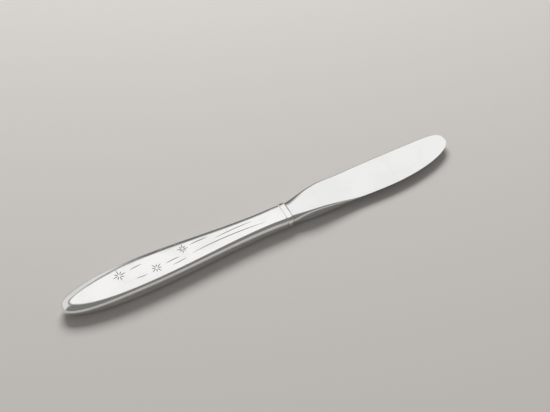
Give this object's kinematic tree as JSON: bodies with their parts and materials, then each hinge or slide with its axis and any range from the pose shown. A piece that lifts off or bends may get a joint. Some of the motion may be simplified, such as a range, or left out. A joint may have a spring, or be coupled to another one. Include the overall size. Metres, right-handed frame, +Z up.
{
  "type": "table knife",
  "caption": "Hollow-handle table knife with a round-tipped blade, forged bolster and ringed collar, lying flat on its handle.",
  "frame": {"origin": "under the middle of the knife's outline, on the surface it lies on", "axes": "+X from the end of the handle to the tip of the blade, +Y towards the back of the blade, +Z up out of the handle's face"},
  "size_m": [0.225, 0.0216, 0.009],
  "materials": {
    "handle_steel": "polished",
    "collar_steel": "polished",
    "blade_steel": "finely ground across the blade",
    "filling": "cast resin cement"
  },
  "bodies": {
    "root": {"handle_face_shell": "handle_steel", "handle_back_shell": "handle_steel", "collar": "collar_steel", "blade": "blade_steel", "tang_cement": "filling"}
  },
  "joints": []
}
